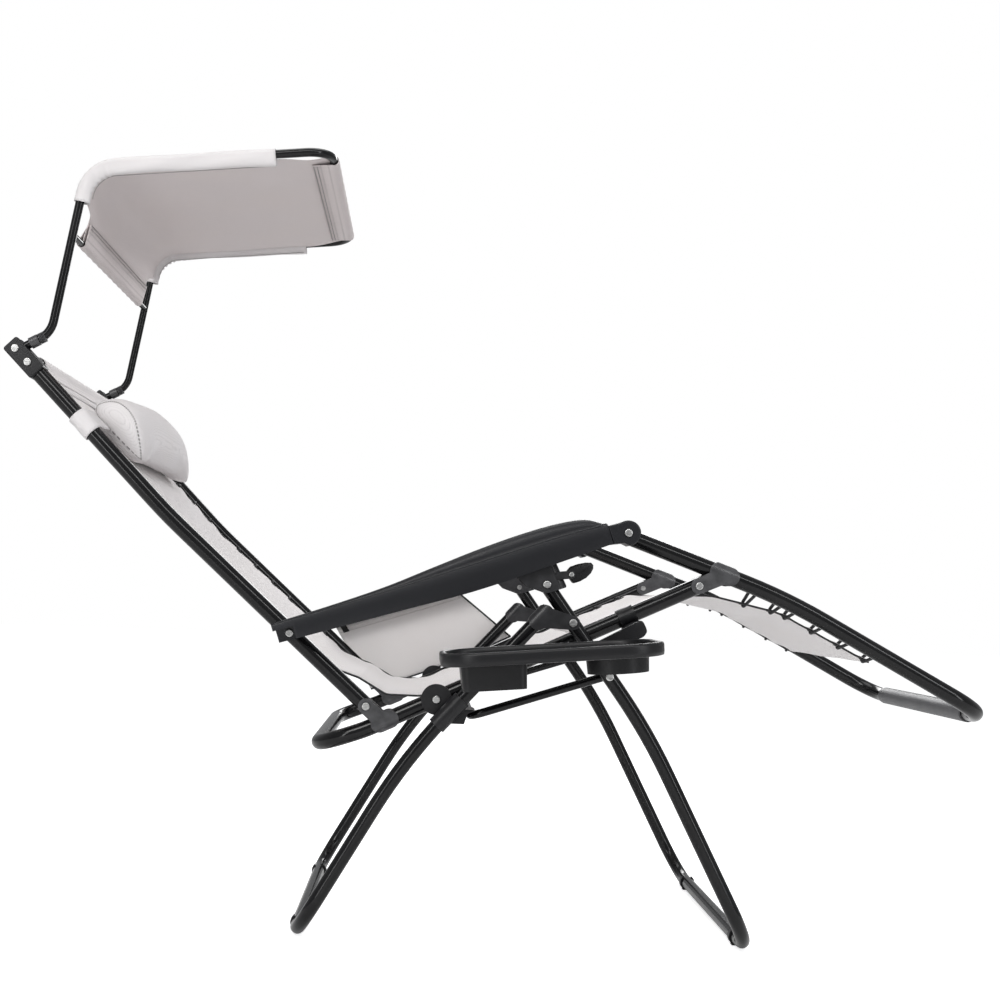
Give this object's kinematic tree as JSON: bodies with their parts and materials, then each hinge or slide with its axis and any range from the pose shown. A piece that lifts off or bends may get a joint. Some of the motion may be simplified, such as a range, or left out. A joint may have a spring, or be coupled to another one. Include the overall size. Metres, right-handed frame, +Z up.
{
  "type": "zero gravity recliner",
  "caption": "Folding reclining garden chair with tubular frame, laced slings, sliding head pillow, sun canopy, side tray and lock levers.",
  "frame": {"origin": "centre of the chair's box on the floor", "axes": "+X towards the foot end, +Y towards the sitter's left, +Z up"},
  "size_m": [1.5312, 0.8454, 1.2135],
  "materials": {
    "black_frame": "gloss powder coat",
    "black_sheet": "satin black plated sheet steel",
    "grey_bracket": "satin grey-black sheet steel",
    "zinc": "bright zinc plated",
    "armrest_plastic": "satin dark grey plastic",
    "black_plastic": "fine-grained black plastic",
    "mesh_fabric": "light warm grey woven mesh",
    "hem_fabric": "near-white woven cloth",
    "pouch_fabric": "light warm grey woven cloth with a black bound edge",
    "lacing": "black elastic cord",
    "grey_sleeve": "soft grey plastic sleeve",
    "canopy_black": "gloss powder coat"
  },
  "bodies": {
    "rear_leg": {"rear_leg_frame": "black_frame", "rear_leg_plugs": "black_plastic", "rear_foot_clips": "black_plastic", "scissor_bracket_right": "black_sheet", "scissor_bracket_left": "black_sheet", "scissor_screws": "zinc", "leg_clamp_right": "black_plastic", "leg_clamp_left": "black_plastic", "clamp_screws": "zinc"},
    "front_leg": {"front_leg_frame": "black_frame", "front_foot_clips": "black_plastic", "brace_screws": "zinc", "slide_screws": "zinc"},
    "slide_brackets": {"slide_bracket_right": "black_sheet", "slide_bracket_left": "black_sheet", "lever_pins": "zinc"},
    "lever_right": {"lock_lever_right": "black_plastic"},
    "lever_left": {"lock_lever_left": "black_plastic"},
    "brace": {"brace_bar": "black_frame"},
    "seat": {"seat_frame": "black_frame", "seat_plugs": "black_plastic", "hip_bracket_right": "grey_bracket", "hip_bracket_left": "grey_bracket", "hip_screws": "zinc", "seat_sling": "mesh_fabric", "seat_lacing": "lacing", "tray_clamp": "black_plastic", "knee_screws": "zinc"},
    "back": {"back_tube_right": "black_frame", "back_tube_left": "black_frame", "back_cross_tube": "black_frame", "top_socket_right": "black_plastic", "top_socket_left": "black_plastic", "socket_screws": "zinc", "canopy_screws": "zinc", "back_sling": "mesh_fabric", "back_lacing": "lacing", "armrest_rear_screws": "zinc"},
    "armrest": {"armrest_right": "armrest_plastic", "armrest_left": "armrest_plastic", "armrest_rails": "armrest_plastic", "armrest_front_screws": "zinc", "side_pouch": "pouch_fabric"},
    "legrest": {"legrest_frame": "black_frame", "legrest_plugs": "black_plastic", "knee_bracket_right": "grey_bracket", "knee_bracket_left": "grey_bracket", "legrest_sleeve": "grey_sleeve", "legrest_sling": "mesh_fabric", "legrest_lacing": "lacing"},
    "canopy": {"canopy_frame": "canopy_black", "canopy_crossbar": "canopy_black", "canopy_ferrules": "zinc", "canopy_cover": "hem_fabric"},
    "pillow": {"pillow": "hem_fabric", "pillow_straps": "hem_fabric"},
    "tray": {"tray": "black_plastic"}
  },
  "joints": [
    {"name": "fold", "type": "hinge", "parent": "rear_leg", "child": "front_leg", "pos_m": [0.10874, 0.09135, 0.499], "axis": [0, 1, 0], "range_deg": [0, 66]},
    {"name": "slide_bracket_turn", "type": "hinge", "parent": "front_leg", "child": "slide_brackets", "pos_m": [0.06774, 0.09135, 0.5553], "axis": [0, -1, 0], "range_deg": [0, 66.3]},
    {"name": "brace_turn", "type": "hinge", "parent": "front_leg", "child": "brace", "pos_m": [0.16644, 0.09135, 0.42], "axis": [0, -1, 0], "range_deg": [0, 99.3]},
    {"name": "lever_right_turn", "type": "hinge", "parent": "slide_brackets", "child": "lever_right", "pos_m": [0.10374, 0.09135, 0.5713], "axis": [0, 1, 0], "range_deg": [0, 50]},
    {"name": "lever_left_turn", "type": "hinge", "parent": "slide_brackets", "child": "lever_left", "pos_m": [0.10374, 0.09135, 0.5713], "axis": [0, 1, 0], "range_deg": [0, 50]},
    {"name": "seat_tilt", "type": "hinge", "parent": "rear_leg", "child": "seat", "pos_m": [-0.09164, 0.09135, 0.37603], "axis": [0, -1, 0], "range_deg": [-9.67, 5.46]},
    {"name": "recline", "type": "hinge", "parent": "seat", "child": "back", "pos_m": [-0.19826, 0.09135, 0.3618], "axis": [0, -1, 0], "range_deg": [-21.8, 12]},
    {"name": "armrest_turn", "type": "hinge", "parent": "back", "child": "armrest", "pos_m": [-0.31769, 0.09135, 0.46933], "axis": [0, -1, 0], "range_deg": [-12.66, 22.75]},
    {"name": "legrest_turn", "type": "hinge", "parent": "seat", "child": "legrest", "pos_m": [0.30124, 0.09135, 0.5609], "axis": [0, -1, 0], "range_deg": [-27.55, 15.3]},
    {"name": "canopy_turn", "type": "hinge", "parent": "back", "child": "canopy", "pos_m": [-0.74816, 0.09135, 0.88725], "axis": [0, -1, 0], "range_deg": [-15, 60]},
    {"name": "pillow_slide", "type": "slide", "parent": "back", "child": "pillow", "axis": [-0.6972, 0, 0.7169], "range_m": [0, 0.06]},
    {"name": "tray_slide", "type": "slide", "parent": "seat", "child": "tray", "axis": [0, -1, 0], "range_m": [0, 0.03]}
  ],
  "couplings": [
    {"joint": "slide_bracket_turn", "follows": "fold", "ratio": 1},
    {"joint": "brace_turn", "follows": "fold", "ratio": 1.5},
    {"joint": "seat_tilt", "follows": "recline", "ratio": 0.43},
    {"joint": "armrest_turn", "follows": "recline", "ratio": -1.03},
    {"joint": "legrest_turn", "follows": "recline", "ratio": 1.25}
  ]
}
